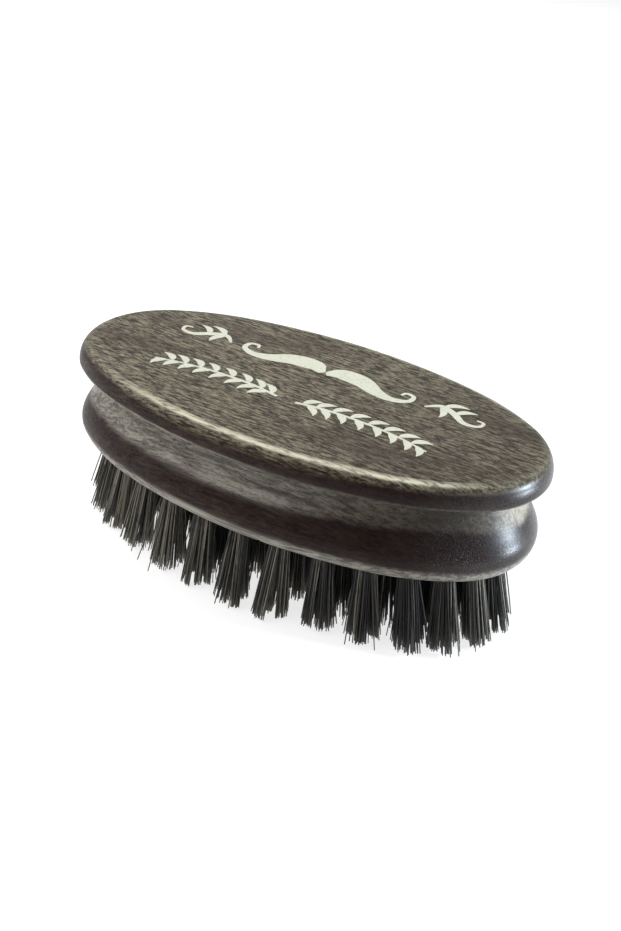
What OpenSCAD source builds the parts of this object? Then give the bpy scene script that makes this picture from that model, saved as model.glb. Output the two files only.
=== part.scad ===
// Oval beard brush: a moulded one-piece wooden back, drilled from below with blind holes.
// Each hole holds one tuft of bristles, folded in half round a flat wire anchor.
// Z = 0 is the plane of the trimmed bristle tips, X runs along the oval and Z points up.

/* [Wooden back] */
// Radius of the outline at each end
end_r = 21; // [19:1:23]
// Radius of the outline where the ends turn into the sides
shoulder_r = 50; // [48:1:54]
// Radius of the outline along each side
side_r = 109; // [104:1:114]
// Height of the back, from its drilled face to its flat top
back_h = 22; // [21:0.5:24]

/* [Moulded edge] */
// Height of the widest line of the upper bead above the drilled face
top_bead_z = 17.8; // [17:0.1:18.6]
// How far the top edge is rounded inwards
top_round = 2.9; // [2:0.1:4]
// Depth of the finger groove
groove_depth = 5.7; // [4:0.1:6.5]
// Height of the deepest line of the finger groove above the drilled face
groove_z = 15.2; // [14:0.1:16]
// Height of the widest line of the lower bead above the drilled face
low_bead_z = 3.6; // [3:0.1:4.5]
// How far the lower bead stands inside the upper one
low_bead_inset = 0.3; // [0:0.1:1]
// How far the bottom edge is rounded inwards
low_round = 2.6; // [1.5:0.1:3.5]

/* [Tuft holes] */
// Diameter of a blind tuft hole
hole_d = 4.3; // [4.25:0.05:4.6]
// Depth of a hole to the start of its drill point
hole_depth = 8.5; // [7:0.1:10]
// Included angle of the drill point
drill_point = 118; // [110:1:130]
// Number of tufts in the outer ring
outer_count = 28; // [24:2:28]
// Number of tufts in the middle ring
middle_count = 20; // [16:2:20]
// Number of tufts in each of the two centre rows
row_count = 5; // [3:1:5]
// Spacing of the tufts along the centre rows
row_pitch = 10.2; // [9:0.1:10.5]
// How far each centre row lies from the long axis
row_offset = 4.6; // [4.4:0.1:5]

/* [Bristle tufts] */
// Free length of the bristles below the drilled face
bristle_l = 19.5; // [17:0.5:22]
// Diameter of a tuft inside its hole
tuft_d = 4.2; // [3.9:0.05:4.2]
// Diameter to which a tuft fans out at its trimmed tips
tuft_tip_d = 5.7; // [5:0.1:5.7]
// Outward lean of the tufts at the two ends of the brush
end_lean = 12; // [0:1:12]
// Outward lean of the tufts along the two sides
side_lean = 5; // [0:1:6]

/* [Wire anchors] */
// Thickness of the flat anchor wire
anchor_t = 0.35; // [0.3:0.05:0.5]
// Width of an anchor, which bites into both walls of its hole
anchor_w = 4.7; // [4.65:0.05:5]
// Height of an anchor
anchor_h = 1.8; // [1.4:0.1:2.4]
// Thickness of the folded bristles above an anchor
fold_h = 1.6; // [1.2:0.1:2]

/* [Hidden] */
$fn = 64;
back_z = bristle_l;
curve_steps = 8;
// The moulded rim is made as a band of this width, and a plain core fills the oval inside it
rim_band = 14;
core_inset = 8;
core_steps = 2;
// Each sector of the rim is cut out with walls this long
sector_l = 150;
// Points of the moulding are rounded to this, so that neighbouring sectors meet exactly
grid = 0.01;
// Half-axes of the two tuft rings
outer_ring = [46, 22];
middle_ring = [37.2, 13.6];
// Shares by which a ring's tufts sit closer at the sides than even turns would put them
outer_crowding = 0.1;
middle_crowding = 0.25;
// The lean grows towards the ends by this power
lean_power = 1.5;
// Clearance between the fold of a tuft and the bottom of its hole
fold_gap = 0.2;
// How far the drill's cylinder runs out below the drilled face
hole_mouth = 2;
// Blunt tip of the drill, and the height of its point
chisel_d = 0.8;
point_h = (hole_d - chisel_d) / 2 / tan(drill_point / 2);
// The bundle is drawn a little too long, because a leaning tuft needs it, and is then trimmed
fan_l = bristle_l * 1.1;
trim_size = 30;
fan_slope = (tuft_tip_d - tuft_d) / 2 / bristle_l;
wood = "#40332c";
bristle = "#2c2c2e";
steel = "#b4b7bb";

// The outline is an oval of tangent arcs. They meet on the directions of a 3-4-5 and a 7-24-25
// triangle, so that every centre has short exact coordinates.
end_join = [0.6, 0.8];
side_join = [0.28, 0.96];
half_l = end_r + (shoulder_r - end_r) * end_join.x + (side_r - shoulder_r) * side_join.x;
end_centre = [half_l - end_r, 0];
shoulder_centre = end_centre - (shoulder_r - end_r) * end_join;
side_centre = shoulder_centre - (side_r - shoulder_r) * side_join;
half_w = side_centre.y + side_r;
end_arc = atan2(end_join.y, end_join.x);
side_arc = atan2(side_join.y, side_join.x);
// Far points on the lines where the arcs meet
end_far = shoulder_centre + sector_l * end_join;
side_far = side_centre + sector_l * side_join;

// The tufts as lists of [x, y] at the drilled face
outer_tufts = ring_places(outer_ring, outer_count, outer_crowding);
middle_tufts = ring_places(middle_ring, middle_count, middle_crowding);
centre_tufts = row_places();
tufts = concat(outer_tufts, middle_tufts, centre_tufts);
outer_names = [for (i = [1:len(outer_tufts)]) str("outer_tuft_", i)];
middle_names = [for (i = [1:len(middle_tufts)]) str("middle_tuft_", i)];
centre_names = [for (i = [1:len(centre_tufts)]) str("centre_tuft_", i)];
tuft_names = concat(outer_names, middle_names, centre_names);

// Places round an oval ring, a little closer together along the sides
function ring_places(ring, count, crowding) = [
    for (i = [0:count - 1])
        let (turn = 360 * i / count)
        let (t = turn + crowding / 2 * sin(2 * turn) * 180 / PI)
        [ring.x * cos(t), ring.y * sin(t)]
];

// Places along the two centre rows
function row_places() = [
    for (side = [-1, 1], i = [0:row_count - 1])
        [(i - (row_count - 1) / 2) * row_pitch, side * row_offset]
];

// Outward lean of the tuft at a place, as angles towards X and towards Y
function lean(place) = [
    sign(place.x) * end_lean * pow(abs(place.x) / outer_ring.x, lean_power),
    side_lean * place.y / outer_ring.y
];

// Section of the moulded edge, from the drilled face up, as [inset from the outline, height]
function low_edge() = [
    for (i = [0:curve_steps])
        let (t = 90 * i / curve_steps)
        [low_bead_inset + low_round * (1 - sin(t)), low_bead_z * (1 - cos(t))]
];
function groove_slope(from, to) = [
    for (i = [1:curve_steps])
        let (t = i / curve_steps)
        [from.x + (to.x - from.x) * (1 - cos(180 * t)) / 2, from.y + (to.y - from.y) * t]
];
function top_edge() = [
    for (i = [1:curve_steps])
        let (t = 90 * i / curve_steps)
        [top_round * (1 - cos(t)), top_bead_z + (back_h - top_bead_z) * sin(t)]
];
edge_points = concat(
    low_edge(),
    groove_slope([low_bead_inset, low_bead_z], [groove_depth, groove_z]),
    groove_slope([groove_depth, groove_z], [0, top_bead_z]),
    top_edge()
);
edge = [for (p = edge_points) [round(p.x / grid) * grid, round(p.y / grid) * grid]];

// Part of the moulded rim: a sweep about one centre, from -Y round by +X to -X, trimmed to its sector
module rim_arc(centre, radius, sector)
    intersection() {
        translate(centre)
            rotate(-90)
                rotate_extrude(angle = 270)
                    polygon(concat(
                        [[radius - rim_band, 0]],
                        [for (p = edge) [radius - p.x, p.y]],
                        [[radius - rim_band, back_h]]
                    ));
        translate([0, 0, -1])
            linear_extrude(back_h + 2)
                polygon(concat([centre], sector));
    }

// Points on one quarter of the outline, moved inwards
function quarter(inset) = concat(
    arc_points(end_centre, end_r - inset, 0, end_arc),
    arc_points(shoulder_centre, shoulder_r - inset, end_arc, side_arc),
    arc_points(side_centre, side_r - inset, side_arc, 90)
);
function arc_points(centre, radius, from, to) = [
    for (i = [0:core_steps - 1])
        let (t = from + (to - from) * i / core_steps)
        centre + radius * [cos(t), sin(t)]
];

module oval_blank() {
    for (m = [0, 1])
        mirror([m, 0, 0]) {
            rim_arc(end_centre, end_r, [[end_far.x, -end_far.y], end_far]);
            for (n = [0, 1])
                mirror([0, n, 0])
                    rim_arc(shoulder_centre, shoulder_r, [end_far, side_far]);
        }
    for (n = [0, 1])
        mirror([0, n, 0])
            rim_arc(side_centre, side_r, [side_far, [-side_far.x, side_far.y]]);
    linear_extrude(back_h)
        for (m = [0, 1], n = [0, 1])
            mirror([m, 0])
                mirror([0, n])
                    polygon(concat([[0, 0]], quarter(core_inset), [[0, half_w - core_inset]]));
}

// Stands its children at a tuft's place, leaning as the tuft does, with Z = 0 at the drilled face
module at_tuft(place)
    translate([place.x, place.y, back_z])
        rotate([lean(place).y, -lean(place).x, 0])
            children();

// A blind hole with a blunt drill point, open below the drilled face
module tuft_hole()
    rotate_extrude()
        polygon([
            [0, -hole_mouth],
            [hole_d / 2, -hole_mouth],
            [hole_d / 2, hole_depth],
            [chisel_d / 2, hole_depth + point_h],
            [0, hole_depth + point_h]
        ]);

module anchor()
    translate([-anchor_w / 2, -anchor_t / 2, hole_depth - fold_gap - fold_h - anchor_h])
        cube([anchor_w, anchor_t, anchor_h]);

module wood_back() color(wood)
    difference() {
        translate([0, 0, back_z])
            oval_blank();
        for (place = tufts)
            at_tuft(place) {
                tuft_hole();
                anchor();
            }
    }

// A bundle that is tight in its hole and fans out evenly below it
module bundle()
    rotate_extrude()
        polygon([
            [0, -fan_l],
            [tuft_d / 2 + fan_l * fan_slope, -fan_l],
            [tuft_d / 2, 0],
            [tuft_d / 2, hole_depth - fold_gap],
            [0, hole_depth - fold_gap]
        ]);

// One tuft, notched round its anchor and trimmed level at Z = 0
module tuft(place) color(bristle)
    difference() {
        at_tuft(place) bundle();
        at_tuft(place) anchor();
        translate([place.x - trim_size / 2, place.y - trim_size / 2, -trim_size])
            cube(trim_size);
    }

module tuft_anchors() color(steel)
    for (place = tufts)
        at_tuft(place)
            anchor();

wood_back();
tuft_anchors();
for (i = [0:len(tufts) - 1])
    tuft(tufts[i]);
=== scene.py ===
"""Looks of an oval beard brush: a moulded, stained back, tufts of folded bristle and a stamped ornament.

Lengths are in millimetres and colours are linear, except where a comment says otherwise.
"""

import math

import bpy
import numpy as np
from mathutils import Matrix, Vector
from mathutils.geometry import delaunay_2d_cdt


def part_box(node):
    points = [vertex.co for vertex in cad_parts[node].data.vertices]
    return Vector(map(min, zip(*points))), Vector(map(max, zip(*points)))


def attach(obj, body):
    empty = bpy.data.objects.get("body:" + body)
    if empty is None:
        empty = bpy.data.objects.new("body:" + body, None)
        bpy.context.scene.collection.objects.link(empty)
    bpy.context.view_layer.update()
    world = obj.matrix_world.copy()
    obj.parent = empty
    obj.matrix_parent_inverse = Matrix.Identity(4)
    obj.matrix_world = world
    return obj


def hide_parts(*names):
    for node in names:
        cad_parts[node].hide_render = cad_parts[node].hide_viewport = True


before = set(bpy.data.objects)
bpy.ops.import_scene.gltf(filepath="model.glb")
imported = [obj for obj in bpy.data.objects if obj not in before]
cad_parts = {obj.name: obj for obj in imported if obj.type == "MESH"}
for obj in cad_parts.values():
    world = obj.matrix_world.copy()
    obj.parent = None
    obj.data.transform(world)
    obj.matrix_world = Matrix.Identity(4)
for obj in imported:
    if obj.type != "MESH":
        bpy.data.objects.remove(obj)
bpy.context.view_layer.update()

MM = 0.001
rng = np.random.default_rng(20240607)

# ---------------------------------------------------------------- measures of the CAD part
wood_lo, wood_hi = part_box("wood_back")
HALF_L = (wood_hi.x - wood_lo.x) / 2 / MM
BACK_Z = wood_lo.z / MM
BACK_H = (wood_hi.z - wood_lo.z) / MM
TUFTS = sorted(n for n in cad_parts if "_tuft_" in n)

# the outline's three tangent arcs: their radii, and the directions in which one hands over to the next
END_R, SHOULDER_R, SIDE_R = 21.0, 50.0, 109.0
END_JOIN = np.array([0.6, 0.8])
SIDE_JOIN = np.array([0.28, 0.96])

# the moulding, by height above the drilled face
TOP_BEAD_Z, TOP_ROUND = 17.8, 2.9
GROOVE_DEPTH, GROOVE_Z = 5.7, 15.2
LOW_BEAD_Z, LOW_BEAD_INSET, LOW_ROUND = 3.6, 0.3, 2.6

# the holes, and the tufts set in them
HOLE_R, HOLE_DEPTH, DRILL_TIP = 2.15, 8.5, 1.2
TUFT_R = 2.1


# ---------------------------------------------------------------- small helpers
def new_mesh(name, verts, faces, smooth=True):
    """A mesh object from vertices in millimetres."""
    mesh = bpy.data.meshes.new(name)
    mesh.from_pydata((np.asarray(verts, float) * MM).tolist(), [], [list(f) for f in faces])
    mesh.update()
    if smooth:
        mesh.polygons.foreach_set("use_smooth", [True] * len(mesh.polygons))
    ob = bpy.data.objects.new(name, mesh)
    bpy.context.scene.collection.objects.link(ob)
    return ob


def point_attribute(ob, name, values):
    """A number at every vertex, for a material to read."""
    attribute = ob.data.attributes.new(name, "FLOAT", "POINT")
    attribute.data.foreach_set("value", np.asarray(values, np.float32))


def step(value, low, high):
    """0 at low, 1 at high and smooth between; low may be the larger."""
    t = np.clip((value - low) / (high - low), 0, 1)
    return t * t * (3 - 2 * t)


def bell(value, middle, width):
    """1 at the middle, fading on both sides of it."""
    return np.exp(-(((value - middle) / width) ** 2))


def unit(vector):
    """The vector's direction, at length 1."""
    return vector / np.linalg.norm(vector)


class Nodes:
    """Short calls for building a material's node tree."""

    def __init__(self, name):
        self.mat = bpy.data.materials.new(name)
        self.mat.use_nodes = True
        self.tree = self.mat.node_tree
        self.tree.nodes.clear()
        self.out = self.tree.nodes.new("ShaderNodeOutputMaterial")

    def node(self, kind, **values):
        n = self.tree.nodes.new(kind)
        for key, value in values.items():
            setattr(n, key, value)
        return n

    def link(self, a, b):
        self.tree.links.new(a, b)

    def put(self, socket, value):
        if isinstance(value, bpy.types.NodeSocket):
            self.link(value, socket)
        else:
            socket.default_value = value

    def noise(self, scale, detail, rough=0.5, distortion=0.0):
        """Noise with so many cells to the millimetre along each axis."""
        place = self.node("ShaderNodeTexCoord")
        stretch = self.node("ShaderNodeMapping")
        stretch.inputs["Scale"].default_value = [s / MM for s in scale]
        self.link(place.outputs["Object"], stretch.inputs["Vector"])
        n = self.node("ShaderNodeTexNoise")
        self.link(stretch.outputs["Vector"], n.inputs["Vector"])
        n.inputs["Scale"].default_value = 1.0
        n.inputs["Detail"].default_value = detail
        n.inputs["Roughness"].default_value = rough
        n.inputs["Distortion"].default_value = distortion
        return n.outputs["Fac"]

    def math(self, operation, a, b):
        n = self.node("ShaderNodeMath", operation=operation)
        self.put(n.inputs[0], a)
        self.put(n.inputs[1], b)
        return n.outputs[0]

    def plus(self, a, b):
        return self.math("ADD", a, b)

    def minus(self, a, b):
        return self.math("SUBTRACT", a, b)

    def times(self, a, b):
        return self.math("MULTIPLY", a, b)

    def remap(self, value, lo, hi, to_lo=0.0, to_hi=1.0):
        """A smooth step from to_lo at lo to to_hi at hi."""
        n = self.node("ShaderNodeMapRange")
        n.interpolation_type = "SMOOTHSTEP"
        self.put(n.inputs["Value"], value)
        n.inputs["From Min"].default_value = lo
        n.inputs["From Max"].default_value = hi
        n.inputs["To Min"].default_value = to_lo
        n.inputs["To Max"].default_value = to_hi
        return n.outputs["Result"]

    def mix(self, share, a, b):
        """Colour a, giving way to colour b by the share."""
        n = self.node("ShaderNodeMix", data_type="RGBA")
        self.put(n.inputs[0], share)
        self.put(n.inputs[6], a if isinstance(a, bpy.types.NodeSocket) else (*a, 1))
        self.put(n.inputs[7], b if isinstance(b, bpy.types.NodeSocket) else (*b, 1))
        return n.outputs[2]

    def attribute(self, name):
        return self.node("ShaderNodeAttribute", attribute_name=name).outputs["Fac"]

    def bump(self, height, strength, depth):
        """A bumped normal; the depth is in millimetres."""
        n = self.node("ShaderNodeBump")
        n.inputs["Strength"].default_value = strength
        n.inputs["Distance"].default_value = depth * MM
        self.link(height, n.inputs["Height"])
        return n.outputs["Normal"]

    def principled(self, values):
        p = self.node("ShaderNodeBsdfPrincipled")
        for key, value in values.items():
            self.put(p.inputs[key], value)
        self.link(p.outputs[0], self.out.inputs["Surface"])


# ---------------------------------------------------------------- materials
def bead_stain_and_shade(m, dash, lines, right_half):
    """The beads: maroon brown, with painted shade making them darker and more even on the right, and paler
    patches on the left.
    """
    stain = m.mix(dash, (0.0065, 0.0026, 0.0024), (0.038, 0.0175, 0.0120))
    even = m.mix(lines, (0.0150, 0.0058, 0.0050), (0.0060, 0.0026, 0.0024))
    # painted shade: darker and more even towards the right
    stain = m.mix(m.times(right_half, 0.75), stain, even)
    mottle = m.noise((0.16, 0.5, 0.5), 4, 0.6, 0.3)
    patch = m.times(m.remap(mottle, 0.48, 0.66), lines)
    fading = m.minus(0.70, m.times(right_half, 0.60))
    return m.mix(m.times(patch, fading), stain, (0.075, 0.053, 0.040))


def top_stain_and_shade(m, dash, broad, right_half):
    """The flat top: olive dashes in dark brown, with broad redder clouds, and painted shade darkening it on
    the right.
    """
    stain = m.mix(dash, (0.018, 0.0125, 0.0080), (0.240, 0.204, 0.134))
    stain = m.mix(m.times(m.remap(broad, 0.50, 0.66), 0.55), stain, (0.052, 0.032, 0.022))
    # painted shade: darker towards the right
    return m.mix(m.times(right_half, 0.30), stain, (0.034, 0.024, 0.018))


def groove_painted_light(m, streak, lines):
    """The groove: pale grey that paints the light reflected into it, with painted shade dimming it on the
    right, darker at the back, and a painted highlight making it creamy at the right-hand end.
    """
    stain = m.mix(lines, (0.390, 0.364, 0.312), (0.180, 0.160, 0.134))
    stain = m.mix(m.times(m.remap(streak, 0.48, 0.62), 0.7), stain, (0.075, 0.061, 0.052))
    # painted shade: the groove darker on the right, and darker at the back
    stain = m.mix(m.attribute("dim"), stain, m.mix(lines, (0.172, 0.148, 0.119), (0.070, 0.056, 0.043)))
    # painted shade at the front of the groove's right-hand end
    stain = m.mix(m.attribute("painted_shade_end"), stain, (0.046, 0.038, 0.031))
    # painted highlight at the groove's right-hand end, with grain lines in it
    return m.mix(m.attribute("painted_end_highlight"), stain, m.mix(lines, (0.420, 0.376, 0.302), (0.270, 0.234, 0.184)))


def wood_material():
    """Dark stained beech with a satin finish: short dashes of grain, open pores, and painted light and shade
    on the edges, in the groove and towards the right.
    """
    m = Nodes("stained_wood")
    broad = m.noise((0.022, 0.075, 0.075), 3)
    streak = m.noise((0.05, 0.85, 0.85), 5, 0.62, 0.4)
    grain = m.noise((0.30, 1.75, 2.1), 5, 0.72, 0.15)
    fleck = m.noise((0.8, 4.4, 4.4), 2, 0.55, 0.25)
    pore = m.noise((1.1, 8.0, 8.0), 1)
    line = m.noise((0.05, 1.5, 1.5), 4, 0.66, 0.2)
    face, right_half, polish = (m.attribute(name) for name in ("face", "right_half", "polish"))

    # the grain shows less where it meets the surface end on
    soft = m.times(m.attribute("end_grain"), 0.7)
    clear = m.minus(1.0, soft)
    dash = m.plus(m.times(m.remap(grain, 0.40, 0.60), clear), m.times(soft, 0.45))
    lines = m.remap(line, 0.40, 0.62)

    # the groove's painted grey, which stands for the light it reflects, frays along the grain
    ragged = m.plus(m.attribute("hollow"), m.times(m.minus(streak, 0.5), 1.2))
    colour = m.mix(face, bead_stain_and_shade(m, dash, lines, right_half), top_stain_and_shade(m, dash, broad, right_half))
    colour = m.mix(m.remap(ragged, 0.12, 0.98), colour, groove_painted_light(m, streak, lines))
    speckle = m.times(m.remap(fleck, 0.53, 0.61), m.plus(0.45, m.times(face, 0.40)))
    colour = m.mix(m.times(speckle, clear), colour, (0.010, 0.0072, 0.0055))
    # painted highlight along the crest and the edge below the upper bead, broken up by the grain
    crest_and_lip_glint = m.times(m.attribute("painted_edge_highlight"), m.remap(grain, 0.36, 0.54, 0.30, 1.0))
    colour = m.mix(crest_and_lip_glint, colour, (0.70, 0.66, 0.49))
    # painted reflection of the pale floor along the rounded bottom edge
    rim = m.times(m.attribute("rim"), m.remap(line, 0.40, 0.60, 1.0, 0.30))
    colour = m.mix(rim, colour, (0.40, 0.375, 0.32))

    rough = m.plus(m.remap(fleck, 0.35, 0.65, 0.30, 0.42), m.remap(broad, 0.3, 0.7, -0.03, 0.04))
    rough = m.minus(rough, m.times(polish, 0.08))
    height = m.minus(m.times(grain, 0.9), m.remap(pore, 0.56, 0.68, 0.0, 0.8))
    height = m.minus(height, m.remap(fleck, 0.52, 0.62, 0.0, 0.7))
    m.principled({
        "Base Color": colour,
        "Roughness": rough,
        "Specular IOR Level": 0.13,
        "Coat Weight": m.plus(0.06, m.times(polish, 0.38)),
        "Coat Roughness": 0.30,
        "Normal": m.bump(height, 0.5, 0.12),
    })
    return m.mat


def bristle_material():
    """Dark bristle, varied from strand to strand, a little greyer towards the cut ends."""
    m = Nodes("bristle")
    speck = m.noise((2.2, 2.2, 0.5), 2)
    colour = m.mix(m.remap(m.attribute("shade"), 0.20, 1.0), (0.0050, 0.0044, 0.0042), (0.240, 0.222, 0.172))
    colour = m.mix(m.times(m.remap(m.attribute("along"), 0.7, 1.0), 0.25), colour, (0.12, 0.112, 0.095))
    colour = m.mix(m.times(m.remap(speck, 0.5, 0.7), 0.5), colour, (0.012, 0.011, 0.010))
    m.principled({
        "Base Color": colour,
        "Roughness": m.remap(speck, 0.3, 0.7, 0.36, 0.52),
        "Specular IOR Level": 0.35,
        "Normal": m.bump(m.noise((9, 9, 1.4), 2), 0.15, 0.03),
    })
    return m.mat


def steel_material():
    """Drawn flat wire: bright steel with fine lines along it and faint tarnish."""
    m = Nodes("anchor_wire")
    line = m.noise((0.4, 9, 14), 2)
    dull = m.noise((0.7, 0.7, 0.7), 3, 0.6)
    m.principled({
        "Base Color": m.mix(m.remap(dull, 0.45, 0.7), (0.62, 0.63, 0.65), (0.36, 0.33, 0.30)),
        "Metallic": 1.0,
        "Roughness": m.remap(line, 0.3, 0.7, 0.24, 0.44),
        "Normal": m.bump(line, 0.25, 0.03),
    })
    return m.mat


def ink_material():
    """Off-white stamped ink, slightly worn through on the grain."""
    m = Nodes("print_ink")
    worn = m.noise((0.9, 4.5, 4.5), 3, 0.6)
    tone = m.noise((0.25, 0.25, 0.25), 2)
    colour = m.mix(tone, (0.50, 0.49, 0.385), (0.62, 0.61, 0.49))
    m.principled({
        "Base Color": m.mix(m.remap(worn, 0.60, 0.70), colour, (0.20, 0.18, 0.13)),
        "Roughness": m.remap(worn, 0.3, 0.7, 0.5, 0.7),
        "Specular IOR Level": 0.3,
        "Normal": m.bump(worn, 0.3, 0.04),
    })
    return m.mat


def floor_material():
    """Pale ground that glows a little, and is clear from below."""
    m = Nodes("floor")
    ground = m.node("ShaderNodeBsdfDiffuse")
    ground.inputs["Color"].default_value = (0.36, 0.36, 0.36, 1)
    glow = m.node("ShaderNodeEmission")
    glow.inputs["Color"].default_value = (1, 1, 1, 1)
    glow.inputs["Strength"].default_value = 0.78
    both = m.node("ShaderNodeAddShader")
    m.link(ground.outputs[0], both.inputs[0])
    m.link(glow.outputs[0], both.inputs[1])
    clear = m.node("ShaderNodeBsdfTransparent")
    side = m.node("ShaderNodeNewGeometry")
    mix = m.node("ShaderNodeMixShader")
    m.link(side.outputs["Backfacing"], mix.inputs[0])
    m.link(both.outputs[0], mix.inputs[1])
    m.link(clear.outputs[0], mix.inputs[2])
    m.link(mix.outputs[0], m.out.inputs["Surface"])
    return m.mat


WOOD = wood_material()
BRISTLE = bristle_material()
STEEL = steel_material()
INK = ink_material()


# ---------------------------------------------------------------- the wooden back
OUTLINE_POINTS = 1000
HOLE_SIDES = 40
# a nick in the bottom edge: its middle, its radius, and how far the wood is pressed there
NICK, NICK_R, NICK_SHIFT = (7.3, -27.0, BACK_Z + 0.7), 0.5, (0, 0.42, 0.16)


def outline(count):
    """So many points round the oval, evenly spaced, and their outward normals."""
    end_c = np.array([HALF_L - END_R, 0.0])
    shoulder_c = end_c - (SHOULDER_R - END_R) * END_JOIN
    side_c = shoulder_c - (SIDE_R - SHOULDER_R) * SIDE_JOIN
    a1 = math.atan2(END_JOIN[1], END_JOIN[0])
    a2 = math.atan2(SIDE_JOIN[1], SIDE_JOIN[0])
    arcs = [(end_c, END_R, 0.0, a1), (shoulder_c, SHOULDER_R, a1, a2), (side_c, SIDE_R, a2, math.pi / 2)]
    lengths = [r * (b - a) for _, r, a, b in arcs]
    quarter = sum(lengths)
    points, normals = [], []
    for i in range(count):
        s = 4 * quarter * i / count
        turn = int(s // quarter) % 4
        t = s - quarter * int(s // quarter)
        if turn % 2:
            t = quarter - t
        for (c, r, a, _), length in zip(arcs, lengths):
            if t <= length or r == SIDE_R:
                angle = a + t / r
                break
            t -= length
        n = np.array([math.cos(angle), math.sin(angle)])
        mirror = np.array([(1, 1), (-1, 1), (-1, -1), (1, -1)][turn])
        points.append((c + r * n) * mirror)
        normals.append(n * mirror)
    return np.array(points), np.array(normals)


def moulding():
    """The moulded edge from the drilled face up to the flat top, as rows of (inset, height)."""
    rows = []
    # the lower bead's rounded underside
    for t in np.linspace(0, math.pi / 2, 13):
        rows.append((LOW_BEAD_INSET + LOW_ROUND * (1 - math.sin(t)), LOW_BEAD_Z * (1 - math.cos(t))))
    # in to the groove, and out again to the upper bead
    for t in np.linspace(0, 1, 25)[1:]:
        ease = (1 - math.cos(math.pi * t)) / 2
        inset = LOW_BEAD_INSET + (GROOVE_DEPTH - LOW_BEAD_INSET) * ease
        rows.append((inset, LOW_BEAD_Z + (GROOVE_Z - LOW_BEAD_Z) * t))
    for t in np.linspace(0, 1, 13)[1:]:
        ease = (1 - math.cos(math.pi * t)) / 2
        rows.append((GROOVE_DEPTH * (1 - ease), GROOVE_Z + (TOP_BEAD_Z - GROOVE_Z) * t))
    # the crest, and rows across the flat top
    for t in np.linspace(0, math.pi / 2, 19)[1:]:
        rows.append((TOP_ROUND * (1 - math.cos(t)), TOP_BEAD_Z + (BACK_H - TOP_BEAD_Z) * math.sin(t)))
    rows += [(inset, BACK_H) for inset in (3.4, 4.2, 6.0, 9.0, 13.0, 17.0)]
    return rows


def tuft_axis(name):
    """A CAD tuft's place at the drilled face and its downward direction."""
    co = np.array([v.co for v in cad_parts[name].data.vertices], float) / MM
    low = co[co[:, 2] < co[:, 2].min() + 0.05]
    tip = (low.min(0) + low.max(0)) / 2
    axis = np.array([0, 0, 1.0])
    # the bundle ends in a flat disc square to the axis; each pass finds its middle a little better
    for _ in range(4):
        height = co @ axis
        disc = co[height > height.max() - 0.15]
        middle = (disc.min(0) + disc.max(0)) / 2
        axis = unit(middle - tip)
    down = -axis
    root = middle + down * ((BACK_Z - middle[2]) / down[2])
    return root, down


AXES = {name: tuft_axis(name) for name in TUFTS}


def moulded_shell():
    """The moulded sides and the flat top: vertices, how far each is in from the outline, and faces."""
    count = OUTLINE_POINTS
    points, normals = outline(count)
    rows = moulding()
    rings = [np.column_stack([points - normals * inset, np.full(count, BACK_Z + z)]) for inset, z in rows]
    insets = np.repeat([inset for inset, _ in rows], count)
    last_row = rings[-1]
    for share in (0.7, 0.35):
        rings.append(np.column_stack([last_row[:, :2] * share, last_row[:, 2]]))
    verts = np.vstack(rings + [[[0, 0, BACK_Z + BACK_H]]])
    insets = np.append(insets, [2 * TOP_ROUND] * (len(verts) - len(insets)))
    faces = []
    for r in range(len(rings) - 1):
        a, b = r * count, (r + 1) * count
        for i in range(count):
            j = (i + 1) % count
            faces.append((a + i, a + j, b + j, b + i))
    centre = len(verts) - 1
    inner = centre - count
    faces += [(inner + i, inner + (i + 1) % count, centre) for i in range(count)]
    return verts, insets, faces


def hole_ring(root, down):
    """Points round a hole, square to its axis."""
    u = unit(np.cross([0, 1.0, 0], down))
    v = np.cross(down, u)
    turns = [2 * math.pi * k / HOLE_SIDES for k in range(HOLE_SIDES)]
    return [root + HOLE_R * (math.cos(a) * u + math.sin(a) * v) for a in turns]


def drill(verts, faces):
    """Close the underside with a flat face that one leaning hole for each tuft pierces.

    The new faces join the list, and all the vertices are returned.
    """
    count = OUTLINE_POINTS
    flat = [Vector(p[:2]) for p in verts[:count]]
    edges = [(i, (i + 1) % count) for i in range(count)]
    firsts = []
    for root, down in AXES.values():
        first = len(flat)
        firsts.append(first)
        for p in hole_ring(root, down):
            p = p + down * ((BACK_Z - p[2]) / down[2])
            flat.append(Vector(p[:2]))
        edges += [(first + k, first + (k + 1) % HOLE_SIDES) for k in range(HOLE_SIDES)]
    out_points, _, triangles, sources, _, _ = delaunay_2d_cdt(flat, edges, [], 0, 1e-6)

    # the outline's own vertices are used again; those round the holes are new
    index, of_source, added = {}, {}, []
    for i, source in enumerate(sources):
        if source and source[0] < count:
            index[i] = source[0]
        else:
            index[i] = len(verts) + len(added)
            added.append((out_points[i].x, out_points[i].y, BACK_Z))
        of_source.update({s: index[i] for s in source})
    verts = np.vstack([verts, added])

    # the oval is convex, so the only triangles to leave out are those across a hole
    centres = np.array([root[:2] for root, _ in AXES.values()])
    for triangle in triangles:
        middle = sum((out_points[i] for i in triangle), Vector((0, 0))) / 3
        if np.min(np.hypot(*(centres - np.array(middle)).T)) >= HOLE_R * 0.97:
            faces.append([index[i] for i in reversed(triangle)])

    # walls down to a coned bottom
    walls = []
    for (root, down), first in zip(AXES.values(), firsts):
        start = len(verts) + len(walls)
        tip = start + HOLE_SIDES
        walls += [p - down * HOLE_DEPTH for p in hole_ring(root, down)]
        walls.append(root - down * (HOLE_DEPTH + DRILL_TIP))
        for k in range(HOLE_SIDES):
            n = (k + 1) % HOLE_SIDES
            faces.append((of_source[first + k], of_source[first + n], start + n, start + k))
            faces.append((start + k, start + n, tip))
    return np.vstack([verts, walls])


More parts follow.
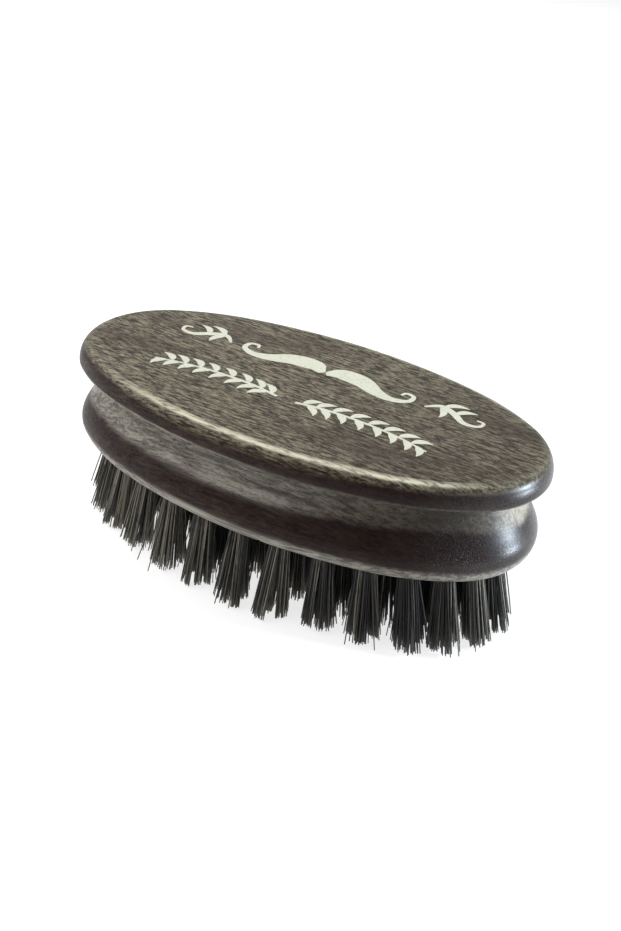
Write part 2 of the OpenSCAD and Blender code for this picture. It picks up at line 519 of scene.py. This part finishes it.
def stain_and_light_shares(verts, insets):
    """How much of each look, stain or painted light and shade, a vertex has. Heights are above the drilled
    face, and -y is the front.
    """
    x, y, z = verts[:, 0], verts[:, 1], verts[:, 2] - BACK_Z
    leftward = 1 - step(x, -25, 18)
    rightward = step(x, -5, 42)
    far_right = step(x, 45, 53)
    middle = step(x, -42, -12) * (1 - step(x, 35, 49))
    front = step(y, 2, -6)
    at_back = step(y, -3, 8)
    # a painted highlight lies on the crest most of all, and on the edge below the upper bead
    crest = bell(z, BACK_H - 0.18, 0.21) * (insets < 3.0) * (0.12 + 0.88 * middle) * (0.40 + 0.60 * front)
    lip = bell(z, TOP_BEAD_Z - 0.05, 0.22) * (insets < 1.0) * (0.10 + 0.38 * leftward)
    # the painted grey of the groove, standing for the light it reflects, reaches lower on the left and at the
    # right-hand end
    rise = 1.9 * rightward - 1.1 * far_right
    hollow = step(z, 7.2 + rise, 9.8 + rise) * step(z, TOP_BEAD_Z - 0.6, TOP_BEAD_Z - 1.6)
    top_starts = 19.2 + 1.1 * step(np.abs(x), 12, 34) + 0.5 * step(x, -20, -36)
    return {
        # painted highlight on the crest and under the upper bead
        "painted_edge_highlight": crest + lip,
        # painted reflection of the pale floor along the rounded bottom edge
        "rim": step(z, 3.7, 2.3) * step(z, 0.0, 0.4) * (0.90 - 0.25 * rightward) * (1 - 0.5 * at_back),
        # where the groove's painted grey lies
        "hollow": hollow,
        "face": step(z, top_starts, 21.4),
        # painted highlight on the groove's right-hand end
        "painted_end_highlight": step(x, 40, 44) * step(z, 6.5, 11.0) * step(y, -8.5, -2) * step(y, 14, 8),
        # painted shade: the groove darker on the right, and darker at the back
        "dim": np.maximum(step(x, 2, 30) * (1 - far_right), at_back),
        "end_grain": step(np.abs(x), 34, 50) * step(z, 21.6, 20.8),
        # painted shade darkening the right, which also fades the pale patches there
        "right_half": step(x, -12, 45),
        # painted shade at the front of the groove's right-hand end
        "painted_shade_end": 0.85 * bell(x, 41, 8) * step(y, 4, -4),
        "polish": step(x, 34, 50) * step(z, 21.6, 20.9) * (1 - hollow),
    }


def wood_back():
    """The back as one smooth shape, with its stain and painted light and shade, its holes and a small nick in
    the bottom edge.
    """
    verts, insets, faces = moulded_shell()
    shaped = len(verts)
    verts = drill(verts, faces)
    shares = stain_and_light_shares(verts[:shaped], insets)
    near = bell(np.linalg.norm(verts[:shaped] - NICK, axis=1), 0, NICK_R)
    verts[:shaped] += np.outer(near, NICK_SHIFT)
    ob = new_mesh("wooden_back", verts, faces)
    for name, values in shares.items():
        point_attribute(ob, name, np.append(values, [0] * (len(verts) - shaped)))
    ob.data.materials.append(WOOD)
    # sharp where the holes break through
    bpy.context.view_layer.update()
    ob.data.set_sharp_from_angle(angle=math.radians(35))
    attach(ob, "root")
    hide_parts("wood_back")


# ---------------------------------------------------------------- the bristle tufts
STRANDS = 80
BRISTLE_R, BRISTLE_SIDES, TIP_TAPER = 0.15, 5, 0.22
# how wide the legs are packed at the drilled face, and how much wider at the tips in the outer and inner rows
PACKING = 0.93
SPREAD, OUTER_EXTRA, INNER_EXTRA = (1.78, 2.12), 0.06, 0.45
# the points that a tuft's tips bunch to, and the shares of legs that stray or are cut short, and by how much
CLUMPS = 6
STRAY_SHARE, STRAY_FAN = 0.03, 1.35
SHORT_SHARE, SHORT_BY = 0.07, (0.6, 2.5)
# from 0, dark, to 1, pale: painted light makes the tufts paler at the left end, and painted shade makes those
# in the inner rows darker
TONE_LEFT, TONE_RIGHT, INNER_TONE, TONE_VARIETY = 0.70, 0.10, 0.45, 0.34
# along a leg, from the drilled face to the cut end
LEG_STEPS = (0.0, 0.22, 0.45, 0.7, 0.88, 1.0)
# round the fold, whose sides stand FOLD_Z into the hole, less FOLD_DROP, and whose top rises above them
FOLD_STEPS = 3
FOLD_Z, FOLD_DROP, FOLD_RISE = 6.7, 0.4, 1.25


def strand_places():
    """Places for all the legs across a tuft, evenly packed with a little jitter, in shares of its radius."""
    golden = math.pi * (3 - math.sqrt(5))
    k = np.arange(2 * STRANDS)
    r = np.sqrt((k + 0.5) / (2 * STRANDS))
    a = k * golden + rng.uniform(0, 2 * math.pi)
    p = np.column_stack([r * np.cos(a), r * np.sin(a)]) * PACKING
    p += rng.normal(0, 0.012, p.shape)
    return p


class Bundle:
    """How the strands of one tuft stand, bunch, spread and end."""

    def __init__(self, name):
        self.root, self.down = AXES[name]
        self.u = unit(np.array([1.0, 0, 0]) - self.down[0] * self.down)
        self.v = np.cross(self.down, self.u)
        self.places = strand_places()
        self.clumps = rng.uniform(-0.9, 0.9, (CLUMPS, 2))
        self.pull = rng.uniform(0.10, 0.50, CLUMPS)
        self.cut = np.abs(rng.normal(0, 0.40, CLUMPS))
        outer = name.startswith("outer")
        self.spread = rng.uniform(*SPREAD) + (OUTER_EXTRA if outer else INNER_EXTRA)
        self.bend = rng.normal(0, 0.30, 2)
        # painted light and shade: paler towards the left end, darker in the inner rows
        tone = TONE_LEFT + (TONE_RIGHT - TONE_LEFT) * step(self.root[0], -42, 40)
        self.tone = tone * (1.0 if outer else INNER_TONE)

    def pairs(self):
        """The places of each strand's two legs, one on each side of the anchor."""
        order = np.argsort(np.round(self.places[:, 0] * 7) + self.places[:, 1] * 0.01)
        upper = [self.places[k] for k in order if self.places[k, 1] >= 0]
        lower = [self.places[k] for k in order if self.places[k, 1] < 0]
        return zip(upper, lower)

    def leg(self, place):
        """Points down one leg, which is drawn towards its clump and splays on the way to its cut end."""
        c = np.argmin(np.hypot(*(self.clumps - place).T))
        stray = rng.random() < STRAY_SHARE
        fan = (1 + (self.spread - 1) * rng.normal(1, 0.12)) * (STRAY_FAN if stray else 1)
        end = (place + (self.clumps[c] - place) * self.pull[c]) * TUFT_R * fan + self.bend
        end = end + rng.normal(0, 0.5 if stray else 0.16, 2)
        wobble = rng.normal(0, 0.09, 2)
        end_z = self.cut[c] + abs(rng.normal(0, 0.28))
        if rng.random() < SHORT_SHARE:
            end_z += rng.uniform(*SHORT_BY)
        points = []
        for s in LEG_STEPS:
            across = place * TUFT_R * (1 - s) + end * s + wobble * math.sin(math.pi * s)
            w = s * (BACK_Z - end_z) / -self.down[2]
            points.append(self.root + across[0] * self.u + across[1] * self.v + w * self.down)
        return points

    def fold(self, a, b):
        """Points up the hole from the leg at a, over the anchor and down to the leg at b."""
        rise = FOLD_RISE * (0.25 + 0.75 * max(abs(a[1]), abs(b[1])))
        points = []
        for i in range(FOLD_STEPS):
            t = math.pi * i / (FOLD_STEPS - 1)
            side = math.cos(t) * TUFT_R * (abs(a[1]) if i == 0 else abs(b[1]))
            high = FOLD_Z + math.sin(t) * rise - (0.0 if i == 1 else FOLD_DROP)
            across = (a[0] * (1 + math.cos(t)) / 2 + b[0] * (1 - math.cos(t)) / 2) * TUFT_R
            points.append(self.root + across * self.u + side * self.v - high * self.down)
        return points


def strand_rings(points, along, across, radius):
    """Rings of vertices along a strand, thinning towards its cut ends; across sets how they are turned."""
    tangents = np.gradient(points, axis=0)
    tangents /= np.linalg.norm(tangents, axis=1)[:, None]
    side = unit(np.cross(tangents[0], across))
    rings = []
    for p, s, t in zip(points, along, tangents):
        side = unit(side - (side @ t) * t)
        other = np.cross(t, side)
        r = radius * (1 - TIP_TAPER * s ** 3)
        for j in range(BRISTLE_SIDES):
            a = 2 * math.pi * j / BRISTLE_SIDES
            rings.append(p + r * (math.cos(a) * side + math.sin(a) * other))
    return rings


def strand_faces(first, steps):
    """Walls between the rings that begin at vertex first, and a cap at each end."""
    faces = []
    for i in range(steps - 1):
        a = first + i * BRISTLE_SIDES
        b = a + BRISTLE_SIDES
        for j in range(BRISTLE_SIDES):
            n = (j + 1) % BRISTLE_SIDES
            faces.append((a + j, a + n, b + n, b + j))
    last = first + (steps - 1) * BRISTLE_SIDES
    faces.append(tuple(first + j for j in reversed(range(BRISTLE_SIDES))))
    faces.append(tuple(last + j for j in range(BRISTLE_SIDES)))
    return faces


def tuft(name):
    """One tuft: strands folded in half over the anchor, each leg splayed towards its own cut end."""
    bundle = Bundle(name)
    along = [*reversed(LEG_STEPS), *[0.0] * FOLD_STEPS, *LEG_STEPS]
    verts, faces, tones = [], [], []
    for a, b in bundle.pairs():
        a_leg, b_leg = bundle.leg(a), bundle.leg(b)
        points = np.array([*reversed(a_leg), *bundle.fold(a, b), *b_leg])
        tones.append(np.clip(rng.normal(bundle.tone, TONE_VARIETY), 0, 1))
        radius = BRISTLE_R * rng.uniform(0.86, 1.1)
        faces += strand_faces(len(verts), len(points))
        verts += strand_rings(points, along, bundle.u, radius)
    verts = np.array(verts)
    verts[:, 2] = np.maximum(verts[:, 2], 0.0)
    ob = new_mesh("bristle_" + name, verts, faces)
    point_attribute(ob, "shade", np.repeat(tones, len(along) * BRISTLE_SIDES))
    point_attribute(ob, "along", np.tile(np.repeat(along, BRISTLE_SIDES), len(tones)))
    ob.data.materials.append(BRISTLE)
    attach(ob, "root")
    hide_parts(name)


# ---------------------------------------------------------------- the stamped ornament
# the ink's clearance over the wood, its thickness, and how much each stroke adds where strokes cross
INK_GAP, INK_FILM, INK_STEP = 0.005, 0.03, 0.004


def ribbon(points, widths, z0, z1):
    """A closed flat stroke along points with a width at each, from height z0 to z1."""
    t = np.gradient(points, axis=0)
    t /= np.linalg.norm(t, axis=1)[:, None]
    n = np.column_stack([-t[:, 1], t[:, 0]])
    half = widths[:, None] / 2
    left, right = points + n * half, points - n * half
    count = len(points)
    verts = []
    for z in (z0, z1):
        verts += [(*p, z) for p in left] + [(*p, z) for p in right]
    faces = []
    top = 2 * count
    for i in range(count - 1):
        a, b, c, d = i, i + 1, count + i + 1, count + i
        faces.append((a, b, c, d))
        faces.append((top + d, top + c, top + b, top + a))
        faces.append((a + top, b + top, b, a))
        faces.append((d, c, c + top, d + top))
    faces.append((0, count, count + top, top))
    faces.append((top + count - 1, 2 * top - 1, top - 1, count - 1))
    return verts, faces


def smooth_path(points, count=56):
    """A Catmull-Rom curve through rows of (x, y, width)."""
    p = np.asarray(points, float)
    p = np.vstack([2 * p[0] - p[1], p, 2 * p[-1] - p[-2]])
    spans = len(p) - 3
    rows = []
    for t in np.linspace(0, spans - 1e-9, count):
        i = int(t)
        f = t - i
        a, b, c, d = p[i:i + 4]
        bend = (2 * a - 5 * b + 4 * c - d) * f ** 2 + (3 * b - a - 3 * c + d) * f ** 3
        rows.append(0.5 * (2 * b + (c - a) * f + bend))
    return np.array(rows)


def leaf(x, y, angle, length, width):
    """A small pointed leaf growing from a point."""
    q = np.linspace(0, 1, 14)
    a = math.radians(angle)
    bow = 0.18 * length * np.sin(math.pi * q)
    return np.column_stack([
        x + length * q * math.cos(a) - bow * math.sin(a),
        y + length * q * math.sin(a) + bow * math.cos(a),
        0.12 + width * np.sin(math.pi * np.clip(q ** 0.8, 0.02, 0.98)),
    ])


# the curves of the right-hand half, as rows of (x, y, width)
MOUSTACHE = [
    (0.5, 8.2, 1.6), (3.6, 10.3, 4.9), (8.5, 9.9, 5.0), (13.2, 7.4, 3.3), (17.2, 6.5, 2.0),
    (20.4, 8.0, 1.3), (20.6, 10.6, 1.0), (18.7, 11.2, 0.8), (18.0, 9.8, 0.6),
]
SCROLL = [
    (24.2, 8.2, 0.5), (27.0, 10.6, 1.3), (30.4, 9.2, 1.7), (33.6, 6.6, 1.3),
    (36.6, 7.0, 0.9), (37.2, 9.0, 0.7), (35.6, 9.5, 0.5),
]
STEM = [(2.2, -7.9, 0.7), (9, -6.7, 0.8), (18, -6.6, 0.7), (26, -7.6, 0.6), (32.5, -9.3, 0.4)]
# pairs of leaves on the stem, placed by steps along it
LEAF_PAIRS, STEM_POINTS, FIRST_LEAF, LEAF_PITCH = 8, 200, 12, 22.5


def ornament():
    """A plain curled moustache between two scrolls, over a spray of leaves, each mirrored about x = 0."""
    strokes = [
        smooth_path(MOUSTACHE),
        smooth_path(SCROLL),
        leaf(27.6, 10.6, 28, 5.4, 1.5),
        leaf(30.8, 8.9, 38, 5.0, 1.4),
        leaf(27.2, 9.9, -72, 4.4, 1.4),
    ]
    stem_index = len(strokes)
    strokes.append(smooth_path(STEM))
    spine = smooth_path(STEM, STEM_POINTS)
    for k in range(LEAF_PAIRS):
        x, y, _ = spine[int(FIRST_LEAF + LEAF_PITCH * k)]
        strokes.append(leaf(x, y + 0.2, 44 - 2 * k, 4.3, 1.5))
        strokes.append(leaf(x + 1.2, y - 0.2, -44 - 3 * k, 4.1, 1.5))
    top = BACK_Z + BACK_H
    verts, faces = [], []
    for k, stroke in enumerate(strokes):
        # strokes that cross have different heights, so that no two faces share a plane
        film = INK_FILM + (0.0 if k == stem_index else INK_STEP * (1 + k % 7))
        for side in (-1, 1):
            path = stroke[:, :2] * (side, 1)
            v, f = ribbon(path, stroke[:, 2], top + INK_GAP, top + film)
            faces += [tuple(len(verts) + i for i in face) for face in f]
            verts += v
    ob = new_mesh("stamped_ornament", verts, faces, smooth=False)
    ob.data.materials.append(INK)
    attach(ob, "root")


wood_back()
for tuft_name in TUFTS:
    tuft(tuft_name)
ornament()
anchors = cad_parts["tuft_anchors"]
anchors.data.materials.clear()
anchors.data.materials.append(STEEL)

# ---------------------------------------------------------------- floor and light, in metres
FLOOR_HALF = 6
corners = [(sx * FLOOR_HALF / MM, sy * FLOOR_HALF / MM, 0) for sx, sy in ((-1, -1), (1, -1), (1, 1), (-1, 1))]
floor = new_mesh("floor", corners, [(0, 1, 2, 3)], smooth=False)
floor.data.materials.append(floor_material())

world = bpy.data.worlds.new("studio")
bpy.context.scene.world = world
world.use_nodes = True
world.node_tree.nodes["Background"].inputs["Color"].default_value = (1.0, 1.0, 1.0, 1)
world.node_tree.nodes["Background"].inputs["Strength"].default_value = 0.18


def outward(azimuth, elevation):
    """The way from the brush at an azimuth, 0 for the front and 90 for +x, and an elevation, in degrees."""
    a, e = math.radians(azimuth), math.radians(elevation)
    return Vector((math.sin(a) * math.cos(e), -math.cos(a) * math.cos(e), math.sin(e)))


def softbox(name, azimuth, elevation, distance, size, power, colour=(1, 1, 1)):
    """An oblong area light of so many watts, turned towards the brush."""
    way = outward(azimuth, elevation)
    data = bpy.data.lights.new(name, "AREA")
    data.shape = "RECTANGLE"
    data.size, data.size_y = size
    data.energy = power
    data.color = colour
    ob = bpy.data.objects.new(name, data)
    bpy.context.scene.collection.objects.link(ob)
    ob.location = LIT_POINT + way * distance
    ob.rotation_mode = "QUATERNION"
    ob.rotation_quaternion = (-way).to_track_quat("-Z", "Y")


LIT_POINT = Vector((0, 0, 0.03))
DAYLIGHT = (0.76, 0.88, 1.0)
softbox("behind", 207, 30, 1.3, (1.6, 0.9), 3.4)
softbox("overhead", 240, 66, 0.9, (0.5, 0.4), 3.4)
softbox("front", -40, 50, 0.9, (0.6, 0.4), 1.7)
softbox("left", -78, 33, 1.0, (0.9, 0.5), 5.6)
softbox("window", 115, 20, 0.9, (0.18, 0.20), 11.0, DAYLIGHT)
softbox("low window", 111, 2, 0.9, (0.18, 0.10), 5.5, DAYLIGHT)

# ---------------------------------------------------------------- camera
# where it stands and how it is tilted, in degrees, and its distance and aim in half lengths of the brush
CAMERA_AZIMUTH, CAMERA_ELEVATION, CAMERA_ROLL = 26.749, 30.456, 6.108
CAMERA_DISTANCE, CAMERA_SHIFT, CAMERA_DROP = 4.135, 0.03902, 0.13423

back = outward(CAMERA_AZIMUTH, CAMERA_ELEVATION)
level = Vector((math.cos(math.radians(CAMERA_AZIMUTH)), math.sin(math.radians(CAMERA_AZIMUTH)), 0))
up = back.cross(level)
roll = math.radians(CAMERA_ROLL)
cam_right = math.cos(roll) * level + math.sin(roll) * up
cam_up = -math.sin(roll) * level + math.cos(roll) * up
reach = back * CAMERA_DISTANCE + cam_right * CAMERA_SHIFT - cam_up * CAMERA_DROP
camera_data = bpy.data.cameras.new("camera")
camera_data.sensor_width = 36
camera_data.lens = 40.43
camera_data.clip_start, camera_data.clip_end = 0.01, 50
camera = bpy.data.objects.new("camera", camera_data)
bpy.context.scene.collection.objects.link(camera)
turn = Matrix((cam_right, cam_up, back)).transposed()
camera.matrix_world = Matrix.Translation((wood_lo + wood_hi) / 2 + reach * HALF_L * MM) @ turn.to_4x4()
bpy.context.scene.camera = camera
bpy.context.scene.view_settings.view_transform = "Standard"
